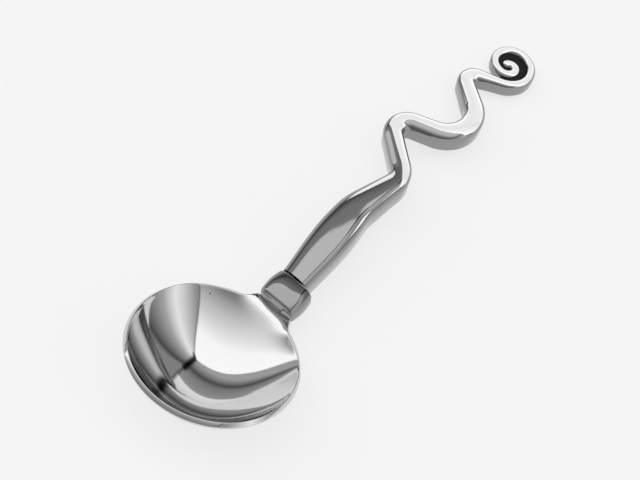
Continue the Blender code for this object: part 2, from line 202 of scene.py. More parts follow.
def sweep(rings: list[list[Vector]]) -> bmesh.types.BMesh:
    """Closed skin through rings of equal count, capped at both ends."""
    bm = bmesh.new()
    made = bmesh.ops.create_circle(bm, segments=len(rings[0]), radius=1.0, cap_ends=True)["verts"]
    loop = loop_in_order(made)
    for vert, place in zip(loop, rings[0]):
        vert.co = place
    for ring in rings[1:]:
        loop = draw_out(bm, loop)
        for vert, place in zip(loop, ring):
            vert.co = place
    edges = [bm.edges.get((a, b)) for a, b in zip(loop, loop[1:] + loop[:1])]
    bmesh.ops.edgeloop_fill(bm, edges=edges)
    bmesh.ops.recalc_face_normals(bm, faces=bm.faces)
    return bm


def object_from(bm: bmesh.types.BMesh, name: str) -> bpy.types.Object:
    """Link a bmesh to the scene as a new object at the origin."""
    mesh = bpy.data.meshes.new(name)
    bm.to_mesh(mesh)
    bm.free()
    obj = bpy.data.objects.new(name, mesh)
    bpy.context.scene.collection.objects.link(obj)
    return obj


def bake(obj: bpy.types.Object) -> None:
    """Turn a piece's modifiers into its mesh."""
    bpy.context.view_layer.update()
    evaluated = obj.evaluated_get(bpy.context.evaluated_depsgraph_get())
    mesh = bpy.data.meshes.new_from_object(evaluated)
    obj.modifiers.clear()
    old = obj.data
    obj.data = mesh
    bpy.data.meshes.remove(old)


def settle(obj: bpy.types.Object, place: Matrix) -> bpy.types.Object:
    """Bake a piece, lay it on the floor and dress its underside flat there.

    Args:
        obj: Piece drawn in the level frame.
        place: Turn and shift to the floor's frame.

    Returns:
        The same object, with its finished mesh.
    """
    bake(obj)
    mesh = obj.data
    mesh.transform(place)
    bm = bmesh.new()
    bm.from_mesh(mesh)
    for vert in bm.verts:
        vert.co.z = max(vert.co.z, 0.0)
    bm.to_mesh(mesh)
    bm.free()
    mesh.shade_smooth()
    mesh.set_sharp_from_angle(angle=SHARP_EDGE)
    return obj


def mount_piece(obj: bpy.types.Object, node: str | None) -> None:
    """Let a piece ride on the ladle and stand for its solid, if it has one."""
    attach(obj, BODY)
    if node:
        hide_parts(node)
    LOG.info("%s: %d faces", obj.name, len(obj.data.polygons))


class NodeMaker:
    """Small helper that adds and links shader nodes."""

    def __init__(self, tree: bpy.types.NodeTree) -> None:
        """Keep the tree that nodes go into."""
        self.tree = tree

    def add(self, kind: str, **settings: object) -> bpy.types.Node:
        """Add a node.

        Args:
            kind: Blender's node type.
            settings: Properties of the node, or values of its inputs by name.

        Returns:
            The new node.
        """
        node = self.tree.nodes.new(kind)
        for key, value in settings.items():
            if key in node.inputs:
                node.inputs[key].default_value = value
            else:
                setattr(node, key, value)
        return node

    def link(self, source: bpy.types.NodeSocket, target: bpy.types.NodeSocket) -> None:
        """Join two sockets."""
        self.tree.links.new(source, target)

    def maths(self, operation: str, *values: bpy.types.NodeSocket | float) -> bpy.types.NodeSocket:
        """Add a sum on sockets or numbers.

        Args:
            operation: Blender's name of the operation.
            values: Its inputs, in order.

        Returns:
            The result's socket.
        """
        node = self.add("ShaderNodeMath", operation=operation)
        for slot, value in zip(node.inputs, values):
            if isinstance(value, bpy.types.NodeSocket):
                self.link(value, slot)
            else:
                slot.default_value = value
        return node.outputs["Value"]

    def fade(self, value: bpy.types.NodeSocket, low: float, high: float) -> bpy.types.NodeSocket:
        """Smooth step of a socket from 0 at low to 1 at high."""
        node = self.add("ShaderNodeMapRange", interpolation_type="SMOOTHSTEP")
        node.inputs["From Min"].default_value = low
        node.inputs["From Max"].default_value = high
        self.link(value, node.inputs["Value"])
        return node.outputs["Result"]

    def mix(
        self, share: bpy.types.NodeSocket, first: bpy.types.NodeSocket, second: bpy.types.NodeSocket
    ) -> bpy.types.NodeSocket:
        """Blend two colours by a share."""
        node = self.add("ShaderNodeMix", data_type="RGBA")
        self.link(share, node.inputs["Factor"])
        self.link(first, node.inputs["A"])
        self.link(second, node.inputs["B"])
        return node.outputs["Result"]

    def degrees_ramp(
        self, angle: bpy.types.NodeSocket, stops: tuple[tuple[float, float], ...]
    ) -> bpy.types.NodeSocket:
        """Grey levels by an angle.

        Args:
            angle: Socket with the angle in radians.
            stops: Angles in degrees and the grey level at each.

        Returns:
            The colour's socket.
        """
        low = stops[0][0]
        span = stops[-1][0] - low
        share = self.maths("MULTIPLY_ADD", angle, 180.0 / math.pi / span, -low / span)
        ramp = self.ramp(tuple(((place - low) / span, level) for place, level in stops))
        self.link(share, ramp.inputs["Fac"])
        return ramp.outputs["Color"]

    def ramp(self, stops: tuple[tuple[float, float], ...]) -> bpy.types.Node:
        """Add a grey colour ramp from places and grey levels."""
        node = self.tree.nodes.new("ShaderNodeValToRGB")
        elements = node.color_ramp.elements
        while len(elements) > 1:
            elements.remove(elements[-1])
        elements[0].position = stops[0][0]
        elements[0].color = (stops[0][1], stops[0][1], stops[0][1], 1.0)
        for place, level in stops[1:]:
            element = elements.new(place)
            element.color = (level, level, level, 1.0)
        return node


def new_surface(name: str) -> tuple[bpy.types.Material, NodeMaker, bpy.types.Node]:
    """Start a material.

    Args:
        name: Name of the material.

    Returns:
        The material, the maker of its nodes and its main shader.
    """
    material = bpy.data.materials.new(name)
    material.use_nodes = True
    return material, NodeMaker(material.node_tree), material.node_tree.nodes["Principled BSDF"]


@dataclass(frozen=True)
class PolishedMetal:
    """Bright polished metal with faint buffing marks and a few casting pits; a lowered grey paints shade into
    it.
    """

    name: str
    # The bowl keeps this grey; the lower greys given for the casting and collar are painted shade.
    grey: float = 0.64
    roughness: float = 0.05
    roughness_spread: float = 0.03
    smear_scale: float = 140.0
    ripple: float = 0.0
    ripple_scale: float = 170.0
    ripple_height: float = 0.1 * MM
    pit_spacing: float = 9.0 * MM
    pit_size: float = 0.02
    pit_edge: float = 1.6
    pit_levels: tuple[float, float] = (0.12, 0.35)

    def material(self) -> bpy.types.Material:
        """Build the shader.

        Returns:
            The finished material.
        """
        material, make, shader = new_surface(self.name)
        shader.inputs["Metallic"].default_value = 1.0
        coords = make.add("ShaderNodeTexCoord")
        smear = make.add("ShaderNodeTexNoise", Scale=self.smear_scale, Detail=3.0)
        make.link(coords.outputs["Object"], smear.inputs["Vector"])
        rough = make.add("ShaderNodeMapRange")
        rough.inputs["To Min"].default_value = self.roughness
        rough.inputs["To Max"].default_value = self.roughness + self.roughness_spread
        make.link(smear.outputs["Fac"], rough.inputs["Value"])
        make.link(rough.outputs["Result"], shader.inputs["Roughness"])
        cells = make.add("ShaderNodeTexVoronoi", Scale=1.0 / self.pit_spacing)
        make.link(coords.outputs["Object"], cells.inputs["Vector"])
        bottom, side = self.pit_levels
        pits = make.ramp(((0.0, bottom), (self.pit_size, side), (self.pit_size * self.pit_edge, 1.0)))
        make.link(cells.outputs["Distance"], pits.inputs["Fac"])
        tint = make.add("ShaderNodeMix", data_type="RGBA", blend_type="MULTIPLY")
        tint.inputs["Factor"].default_value = 1.0
        tint.inputs["A"].default_value = (self.grey, self.grey, self.grey, 1.0)
        make.link(pits.outputs["Color"], tint.inputs["B"])
        make.link(tint.outputs["Result"], shader.inputs["Base Color"])
        waves = make.add("ShaderNodeTexNoise", Scale=self.ripple_scale, Detail=1.0)
        make.link(coords.outputs["Object"], waves.inputs["Vector"])
        bump = make.add("ShaderNodeBump", Strength=self.ripple, Distance=self.ripple_height)
        make.link(waves.outputs["Fac"], bump.inputs["Height"])
        make.link(bump.outputs["Normal"], shader.inputs["Normal"])
        return material


@dataclass(frozen=True)
class BlackFill:
    """Black enamel of the groove, a little uneven."""

    name: str = "black_fill"
    darkest: float = 0.0048
    palest: float = 0.016
    roughness: tuple[float, float] = (0.55, 0.75)
    grain_scale: float = 900.0
    grain_bump: float = 0.4
    grain_height: float = 0.05 * MM
    sheen: float = 0.25

    def material(self) -> bpy.types.Material:
        """Build the shader."""
        material, make, shader = new_surface(self.name)
        coords = make.add("ShaderNodeTexCoord")
        grain = make.add("ShaderNodeTexNoise", Scale=self.grain_scale, Detail=3.0)
        make.link(coords.outputs["Object"], grain.inputs["Vector"])
        shade = make.ramp(((0.3, self.darkest), (0.8, self.palest)))
        make.link(grain.outputs["Fac"], shade.inputs["Fac"])
        make.link(shade.outputs["Color"], shader.inputs["Base Color"])
        rough = make.add("ShaderNodeMapRange")
        rough.inputs["To Min"].default_value = self.roughness[0]
        rough.inputs["To Max"].default_value = self.roughness[1]
        make.link(grain.outputs["Fac"], rough.inputs["Value"])
        make.link(rough.outputs["Result"], shader.inputs["Roughness"])
        bump = make.add("ShaderNodeBump", Strength=self.grain_bump, Distance=self.grain_height)
        make.link(grain.outputs["Fac"], bump.inputs["Height"])
        make.link(bump.outputs["Normal"], shader.inputs["Normal"])
        shader.inputs["Specular IOR Level"].default_value = self.sheen
        return material


@dataclass(frozen=True)
class SetCement:
    """Grey set cement of the bedding."""

    name: str = "set_cement"
    roughness: float = 0.85
    grain_scale: float = 1200.0
    darkest: float = 0.3
    palest: float = 0.55

    def material(self) -> bpy.types.Material:
        """Build the shader."""
        material, make, shader = new_surface(self.name)
        shader.inputs["Roughness"].default_value = self.roughness
        coords = make.add("ShaderNodeTexCoord")
        grain = make.add("ShaderNodeTexNoise", Scale=self.grain_scale, Detail=5.0)
        make.link(coords.outputs["Object"], grain.inputs["Vector"])
        shade = make.ramp(((0.25, self.darkest), (0.75, self.palest)))
        make.link(grain.outputs["Fac"], shade.inputs["Fac"])
        make.link(shade.outputs["Color"], shader.inputs["Base Color"])
        return material


@dataclass
class Bowl:
    """Pressed bowl with its neck and tang."""

    axis: HandleAxis
    heading: float
    radius: float = 23.45 * MM
    depth: float = 14.0 * MM
    wall: float = 1.5 * MM
    lip: float = 0.4 * MM
    lip_segments: int = 5
    lip_angle: float = math.radians(50.0)
    lip_slant: float = 0.65 * MM
    lip_reach: float = 6.0 * MM
    lip_draw: float = 0.55
    lip_clear: float = math.radians(25.0)
    lip_fade: float = math.radians(30.0)
    side_fullness: float = 0.1
    shoulder_drop: float = 2.4 * MM
    shoulder_reach: float = math.radians(66.0)
    neck_width: float = 11.8 * MM
    neck_blend: float = 4.5
    neck_dip: float = 0.9 * MM
    dip_blend: float = 0.7 * MM
    trough_blend: float = 12.0 * MM
    edge_waves: int = 60
    edge_samples: int = 1440
    outline_samples: int = 400
    outline_step: float = 0.01 * MM
    least_sine: float = 0.1
    corner_blend: float = 14.0
    inner_ease: float = 0.9
    full_side: float = math.radians(-155.0)
    fullness: float = 1.55
    tang_width: float = 4.0 * MM
    tang_length: float = 28.0 * MM
    gap: float = 0.3 * MM
    rings: int = 44
    sides: int = 190
    flank_points: int = 16
    crowding: float = 0.8
    corner_step: float = math.radians(0.02)

    def neck_end(self) -> float:
        """Distance from the bowl's middle to the end of its neck."""
        _, forward, up = self.axis.at(0.0)
        return self.axis.start[0] - up.x * self.axis.start[2] / up.z - self.gap / forward.x

    def cap_radius(self) -> float:
        """Radius of the sphere that the bowl's cap is cut from."""
        return (self.radius ** 2 + self.depth ** 2) / (2.0 * self.depth)

    def edge(self, angle: float) -> float:
        """Radius of the inner edge at an angle from the neck."""
        turn = abs(angle)
        body = self.radius
        if turn < self.shoulder_reach:
            body -= self.shoulder_drop * (1.0 + math.cos(math.pi * turn / self.shoulder_reach)) / 2.0
        if turn > math.pi / 2.0:
            return body
        strip = self.neck_width / 2.0 / max(math.sin(turn), self.least_sine)
        joined = (body ** self.neck_blend + strip ** self.neck_blend) ** (1.0 / self.neck_blend)
        square = self.neck_end() / math.cos(turn)
        return (joined ** -self.corner_blend + square ** -self.corner_blend) ** (-1.0 / self.corner_blend)

    def waves(self) -> list[float]:
        """Heights of the cosine waves that the edge's offset from a circle is the sum of."""
        count = self.edge_samples
        turns = [math.pi * (i + 0.5) / count for i in range(count)]
        offsets = [self.edge(turn) - self.radius for turn in turns]
        found = []
        for wave in range(self.edge_waves):
            total = sum(offset * math.cos(wave * turn) for offset, turn in zip(offsets, turns))
            found.append(total / count * (1.0 if wave == 0 else 2.0))
        return found

    def drawn(self, share: float, angle: float, waves: list[float]) -> float:
        """Offset from a circle inside the edge, where short waves die out sooner than long ones.

        Args:
            share: Share of the way out to the edge.
            angle: Angle from the neck.
            waves: Heights of the cosine waves.

        Returns:
            The offset outwards.
        """
        offset = 0.0
        rest = self.edge(angle) - self.radius
        for wave, height in enumerate(waves):
            part = height * math.cos(wave * angle)
            offset += part * share ** max(wave, 2)
            rest -= part
        return offset + rest * share ** len(waves)

    def drop(self, share: float, angle: float) -> float:
        """Depth of the inner face at a share of the way out."""
        sphere = self.cap_radius()
        low = math.sqrt(sphere ** 2 - (share * self.radius) ** 2) - (sphere - self.depth)
        full = self.depth * math.sqrt(max(1.0 - share ** 2, 0.0))
        return low + (full - low) * self.side_fullness * math.sin(angle) ** 2

    def outline(self) -> tuple[tuple[float, ...], tuple[float, ...]]:
        """Half widths of the edge at rising distances from the middle towards the neck."""
        count = self.outline_samples
        turns = [math.pi / 2.0 * (1.0 - i / count) for i in range(count + 1)]
        places = [(self.edge(turn) * math.cos(turn), self.edge(turn) * math.sin(turn)) for turn in turns]
        kept = [places[0]]
        for place in places[1:]:
            if place[0] > kept[-1][0] + self.outline_step:
                kept.append(place)
        return tuple(x for x, _ in kept), tuple(max(y, self.neck_width / 2.0) for _, y in kept)

    def trough_share(self, x: float) -> float:
        """How far the inner face follows the neck's trough rather than the round bowl."""
        return smooth_step(clamped(x / self.trough_blend))

    def trough(self, x: float, y: float, half_width: float) -> float:
        """Depth of the inner face on the neck's side.

        Args:
            x: Distance from the middle towards the neck.
            y: Distance from the middle line.
            half_width: Half width of the edge there.

        Returns:
            The depth below the edge.
        """
        cap = self.depth * (1.0 - (x / self.radius) ** 2)
        low = (cap + self.neck_dip) / 2.0 + math.hypot((cap - self.neck_dip) / 2.0, self.dip_blend)
        return low * max(1.0 - (y / half_width) ** 2, 0.0)

    def angles(self) -> list[float]:
        """Angles round the bowl, with the neck's corners and the tang's sides among them."""
        end = self.neck_end()
        tang = math.atan2(self.tang_width / 2.0, end)
        corner = tang
        while self.neck_width / 2.0 / math.tan(corner) > end:
            corner += self.corner_step
        count = self.flank_points
        flank = [tang + (corner - tang) * i / count for i in range(1, count + 1)]
        found = [-tang, -tang / 3.0, tang / 3.0, tang, *flank]
        sweep_round = 2.0 * math.pi - 2.0 * corner
        for i in range(1, self.sides):
            share = i / self.sides
            crowd = share - self.crowding * math.sin(2.0 * math.pi * share) / (2.0 * math.pi)
            angle = corner + sweep_round * crowd
            found.append(angle if angle <= math.pi else angle - 2.0 * math.pi)
        return found + [-angle for angle in reversed(flank)]

    def build(self, place: Matrix) -> bpy.types.Object:
        """Model the bowl.

        Args:
            place: Turn and shift to the floor's frame.

        Returns:
            The finished bowl.
        """
        angles = self.angles()
        waves = self.waves()
        outline = self.outline()
        bm = bmesh.new()
        disc = bmesh.ops.create_circle(bm, segments=len(angles), radius=MM, cap_ends=True, cap_tris=True)
        made = disc["verts"]
        middle = max(made, key=lambda vert: len(vert.link_edges))
        middle.co = (0.0, 0.0, -self.depth)
        loop = loop_in_order([vert for vert in made if vert is not middle])
        for ring in range(1, self.rings + 1):
            share = ring / self.rings
            if ring > 1:
                loop = draw_out(bm, loop)
            for vert, angle in zip(loop, angles):
                out = self.radius * share + self.drawn(share, angle, waves)
                x, y = out * math.cos(angle), out * math.sin(angle)
                low = self.drop(share, angle)
                follow = self.trough_share(x)
                if follow > 0.0:
                    half_width = smooth_value(*outline, x)
                    low += (self.trough(x, y, half_width) - low) * follow
                vert.co = (x, y, -low)
        _, forward, _ = self.axis.at(0.0)
        along = forward * math.cos(self.heading) + Vector((0.0, math.sin(self.heading), 0.0))
        edges = [bm.edges.get(pair) for pair in zip(loop[:3], loop[1:4])]
        drawn = bmesh.ops.extrude_edge_only(bm, edges=edges)["geom"]
        ends = [item for item in drawn if isinstance(item, bmesh.types.BMVert)]
        bmesh.ops.translate(bm, verts=ends, vec=along * self.tang_length)
        bmesh.ops.recalc_face_normals(bm, faces=bm.faces)
        if sum(face.normal.z for face in bm.faces) < 0.0:
            bmesh.ops.reverse_faces(bm, faces=bm.faces)
        inner = len(bm.verts)
        bowl = object_from(bm, "pressed_bowl")
        sheet = bowl.modifiers.new("sheet", "SOLIDIFY")
        sheet.thickness = self.wall
        sheet.offset = -1.0
        sheet.use_even_offset = True
        bake(bowl)
        self.ease_inside(bowl, inner)
        self.slant_lip(bowl, inner)
        lip = bowl.modifiers.new("lip", "BEVEL")
        lip.width = self.lip
        lip.segments = self.lip_segments
        lip.limit_method = "ANGLE"
        lip.angle_limit = self.lip_angle
        bake(bowl)
        self.trim_neck(bowl)
        return settle(bowl, place)

    def ease_inside(self, bowl: bpy.types.Object, count: int) -> None:
        """Ease the inner face from a round cap towards a parabola, which is less steep at the rim.

        Args:
            bowl: The bowl with its wall.
            count: How many of its first vertices lie on the inner face.
        """
        sphere = self.cap_radius()
        for vert in bowl.data.vertices[:count]:
            low = min(max(-vert.co.z, 0.0), self.depth)
            share = math.sqrt(max(sphere ** 2 - (low + sphere - self.depth) ** 2, 0.0)) / self.radius
            eased = self.depth * (1.0 - share ** 2)
            facing = max(math.cos(math.atan2(vert.co.y, vert.co.x) - self.full_side), 0.0)
            ease = self.inner_ease * (1.0 - self.fullness * facing ** 2) * (1.0 - self.trough_share(vert.co.x))
            vert.co.z += (low - eased) * ease

    def slant_lip(self, bowl: bpy.types.Object, count: int) -> None:
        """Draw the outer wall's upper edge down along the wall, so that the lip slants outwards.

        Args:
            bowl: The bowl with its wall.
            count: How many of its first vertices lie on the inner face.
        """
        for vert in bowl.data.vertices[count:]:
            flat = Vector((vert.co.x, vert.co.y))
            turn = abs(math.atan2(vert.co.y, vert.co.x))
            clear = clamped((turn - self.lip_clear) / self.lip_fade)
            below = max(-vert.co.z - self.wall / 2.0, 0.0) / self.lip_reach
            if clear == 0.0 or below >= 1.0:
                continue
            slide = self.lip_slant * (1.0 - below) ** 2 * smooth_step(clear)
            flat *= 1.0 - self.lip_draw * slide / flat.length
            vert.co = (flat.x, flat.y, vert.co.z - slide)

    def trim_neck(self, bowl: bpy.types.Object) -> None:
        """Cut the neck's end square, just short of the collar, beside the tang."""
        origin, forward, _ = self.axis.at(0.0)
        for vert in bowl.data.vertices:
            past = (vert.co - origin).dot(forward) + self.gap
            if past > 0.0 and abs(vert.co.y) > self.tang_width:
                vert.co -= forward * past


@dataclass
class Collar:
    """Pillow-shaped block between the bowl and the stem."""

    axis: HandleAxis
    length: float = 8.5 * MM
    width: float = 12.6 * MM
    height: float = 9.4 * MM
    waist: float = 0.5 * MM
    edge: float = 0.7 * MM
    squareness: float = 3.4
    sides: int = 120
    stations: int = 26

    def ring(self, along: float) -> list[Vector]:
        """Section of the collar at a distance from its front face."""
        inset = min(along, self.length - along)
        draw = self.waist * (1.0 - math.sin(math.pi * along / self.length))
        if inset < self.edge:
            draw += self.edge * (1.0 - math.sqrt(max(1.0 - (1.0 - inset / self.edge) ** 2, 0.0)))
        origin, _, up = self.axis.at(along)
        points = []
        for i in range(self.sides):
            angle = 2.0 * math.pi * i / self.sides
            across = squared_off(math.cos(angle), self.squareness)
            rise = squared_off(math.sin(angle), self.squareness)
            side = Vector((0.0, (self.width / 2.0 - draw) * across, 0.0))
            points.append(origin + side + up * (self.height / 2.0 - draw) * rise)
        return points

    def build(self, place: Matrix) -> bpy.types.Object:
        """Model the collar and lay it in place."""
        rings = []
        for i in range(self.stations + 1):
            share = (1.0 - math.cos(math.pi * i / self.stations)) / 2.0
            rings.append(self.ring(self.length * share))
        collar = object_from(sweep(rings), "collar_block")
        return settle(collar, place)


@dataclass
class Handle:
    """Cast handle: stem, wave and scroll."""

    axis: HandleAxis
    collar_length: float = 8.5 * MM
    gap: float = 0.3 * MM
    stem_bend: tuple[float, float] = (36.9 * MM, 3.9 * MM)
    wave: tuple[tuple[float, float], ...] = (
        (54.2 * MM, 1.25 * MM),
        (68.25 * MM, 19.1 * MM),
        (79.5 * MM, -9.1 * MM),
        (97.5 * MM, 15.3 * MM),
    )
    scroll_entry: tuple[float, float] = (103.4 * MM, 2.7 * MM)
    bend_radii: tuple[float, ...] = (22.0 * MM, 7.0 * MM, 4.6 * MM, 9.0 * MM, 3.3 * MM)
    scroll_run: float = 6.7 * MM
    scroll_arcs: tuple[tuple[float, float], ...] = (
        (7.4 * MM, 150.0),
        (5.1 * MM, 185.0),
        (2.8 * MM, 85.0),
        (1.95 * MM, 150.0),
    )
    swell_at: float = 20.0 * MM
    half_widths: tuple[float, ...] = (
        4.3 * MM, 5.5 * MM, 3.2 * MM, 2.9 * MM, 3.2 * MM, 2.5 * MM, 1.6 * MM, 1.34 * MM, 1.4 * MM,
    )
    depths: tuple[float, ...] = (
        8.7 * MM, 9.1 * MM, 7.8 * MM, 6.9 * MM, 6.6 * MM, 5.4 * MM, 4.7 * MM, 4.0 * MM, 3.6 * MM,
    )
    dome_share: float = 0.36
    squareness: float = 2.5
    foot_share: float = 0.95
    foot_rounding: float = 0.5 * MM
    rounding_share: float = 0.9
    foot_turns: tuple[float, ...] = (0.0, 30.0, 60.0, 90.0)
    dome_points: int = 37
    step: float = 0.4 * MM
    step_turn: float = math.radians(6.0)
    least_steps: int = 6
    tip_turns: tuple[float, ...] = (15.0, 30.0, 45.0, 60.0, 72.0, 82.0)
    tip_sink: float = 0.25
    web_thickness: float = 1.3 * MM
    web_recess: float = 0.15 * MM
    fill_thickness: float = 1.1 * MM
    points: list[Vector] = field(default_factory=list)
    lengths: list[float] = field(default_factory=list)
    marks: tuple[float, ...] = ()
    turn_ends: list[int] = field(default_factory=list)

    def __post_init__(self) -> None:
        """Lay out the flat pattern once."""
        self.lay_out()

    def arc(self, centre: Vector, radius: float, start: float, turn: float) -> list[Vector]:
        """Points along an arc, without the first."""
        by_length = math.ceil(abs(turn) * radius / self.step)
        count = max(self.least_steps, by_length, math.ceil(abs(turn) / self.step_turn))
        angles = [start + turn * i / count for i in range(1, count + 1)]
        return [centre + radius * Vector((math.cos(angle), math.sin(angle))) for angle in angles]

    def straight(self, start: Vector, end: Vector) -> list[Vector]:
        """Points from start to end, without the first."""
        count = max(1, round((end - start).length / self.step))
        return [start.lerp(end, i / count) for i in range(1, count + 1)]

    def lay_out(self) -> None:
        """Work out the centre line's flat pattern and the lengths at which the section is given."""
        along = self.collar_length + self.gap
        start = Vector((along, along * self.stem_bend[1] / self.stem_bend[0]))
        corners = [start, Vector(self.stem_bend)]
        corners += [Vector(corner) for corner in self.wave]
        corners.append(Vector(self.scroll_entry))
        points = [start]
        middles = []
        for before, corner, after, radius in zip(corners, corners[1:], corners[2:], self.bend_radii):
            back = (before - corner).normalized()
            on = (after - corner).normalized()
            half = back.angle(on) / 2.0
            centre = corner + (back + on).normalized() * (radius / math.sin(half))
            enter = corner + back * (radius / math.tan(half))
            points += self.straight(points[-1], enter)
            first = enter - centre
            side = 1.0 if back.cross(on) < 0.0 else -1.0
            bend = self.arc(centre, radius, math.atan2(first.y, first.x), side * (math.pi - 2.0 * half))
            middles.append(len(points) + len(bend) // 2 - 1)
            points += bend
        heading = (corners[-1] - corners[-2]).normalized()
        points += self.straight(points[-1], points[-1] + heading * self.scroll_run)
        self.turn_ends = [len(points) - 1]
        for radius, degrees in self.scroll_arcs:
            turn = math.radians(degrees)
            centre = points[-1] + radius * Vector((-heading.y, heading.x))
            points += self.arc(centre, radius, math.atan2(-heading.x, heading.y), turn)
            heading = Matrix.Rotation(turn, 2) @ heading
            self.turn_ends.append(len(points) - 1)
        self.points = points
        self.lengths = [0.0]
        for a, b in zip(points, points[1:]):
            self.lengths.append(self.lengths[-1] + (b - a).length)
        bends = tuple(self.lengths[i] for i in middles[1:])
        ends = (self.lengths[self.turn_ends[0]], self.lengths[self.turn_ends[1]], self.lengths[-1])
        self.marks = (0.0, self.swell_at) + bends + ends

    def heading(self) -> float:
        """Turn of the stem's straight start against the bowl's middle line."""
        return math.atan2(self.stem_bend[1], self.stem_bend[0])

    def section(self, half_width: float, depth: float) -> list[tuple[float, float]]:
        """Section: a domed top on steep walls with a flat foot.

        Args:
            half_width: Half of the width.
            depth: Full depth.

        Returns:
            Points across and up from the section's middle.
        """
        dome = depth * self.dome_share
        base = depth / 2.0 - dome
        points = []
        for i in range(self.dome_points):
            angle = math.pi * i / (self.dome_points - 1)
            across = squared_off(math.cos(angle), self.squareness)
            points.append((half_width * across, base + dome * squared_off(math.sin(angle), self.squareness)))
        foot = half_width * self.foot_share
        low = -depth / 2.0
        rounding = min(self.foot_rounding, foot * self.rounding_share)
        corner = []
        for turn in self.foot_turns:
            angle = math.radians(turn)
            side = foot - rounding * (1.0 - math.cos(angle))
            corner.append((side, low + rounding * (1.0 - math.sin(angle))))
        return points + [(-side, rise) for side, rise in corner] + corner[::-1]

    def stand(self, point: Vector, run: Vector, half_width: float, depth: float) -> list[Vector]:
        """One section, square to the centre line on the arched axis."""
        origin, forward, up = self.axis.at(point.x)
        origin = origin + Vector((0.0, point.y, 0.0))
        across = Vector((0.0, 1.0, 0.0)) * run.x - forward * run.y
        return [origin + across * a + up * b for a, b in self.section(half_width, depth)]

    def rings(self) -> list[list[Vector]]:
        """All sections from the collar to the scroll's rounded tip."""
        last = len(self.points) - 1
        found = []
        for i, point in enumerate(self.points):
            run = (self.points[min(i + 1, last)] - self.points[max(i - 1, 0)]).normalized()
            if i == 0:
                run = Vector((1.0, 0.0))
            half_width = smooth_value(self.marks, self.half_widths, self.lengths[i])
            depth = smooth_value(self.marks, self.depths, self.lengths[i])
            found.append(self.stand(point, run, half_width, depth))
        run = (self.points[-1] - self.points[-2]).normalized()
        for turn in self.tip_turns:
            angle = math.radians(turn)
            point = self.points[-1] + run * self.half_widths[-1] * math.sin(angle)
            depth = self.depths[-1] * (1.0 - self.tip_sink + self.tip_sink * math.cos(angle))
            found.append(self.stand(point, run, self.half_widths[-1] * math.cos(angle), depth))
        return found

    def build(self, place: Matrix) -> bpy.types.Object:
        """Model the swept casting and lay it in place."""
        return settle(object_from(sweep(self.rings()), "cast_handle"), place)

    def plate(self, name: str, lift: float, thickness: float, place: Matrix) -> bpy.types.Object:
        """Flat plate within the scroll's turns.

        Args:
            name: Name of the piece.
            lift: Height of its underside above the scroll's underside.
            thickness: Thickness of the plate.
            place: Turn and shift to the floor's frame.

        Returns:
            The plate.
        """
        outline = []
        for point in self.points[self.turn_ends[0]:self.turn_ends[2] + 1]:
            origin, _, up = self.axis.at(point.x)
            outline.append(origin + Vector((0.0, point.y, 0.0)) + up * (lift - self.depths[-2] / 2.0))
        _, _, up = self.axis.at(self.scroll_entry[0])
        bm = bmesh.new()
        made = bmesh.ops.create_circle(bm, segments=len(outline), radius=1.0, cap_ends=True)["verts"]
        for vert, spot in zip(loop_in_order(made), outline):
            vert.co = spot
        raised = bmesh.ops.extrude_face_region(bm, geom=list(bm.faces))["geom"]
        top = [item for item in raised if isinstance(item, bmesh.types.BMVert)]
        bmesh.ops.translate(bm, verts=top, vec=up * thickness)
        bmesh.ops.recalc_face_normals(bm, faces=bm.faces)
        return settle(object_from(bm, name), place)

    def build_web(self, place: Matrix) -> bpy.types.Object:
        """Floor of the scroll's groove."""
        return self.plate("scroll_web", self.web_recess, self.web_thickness, place)

    def build_fill(self, place: Matrix) -> bpy.types.Object:
        """Black fill on the groove's floor."""
        lift = self.web_recess + self.web_thickness
        return self.plate("groove_fill", lift, self.fill_thickness + self.gap, place)


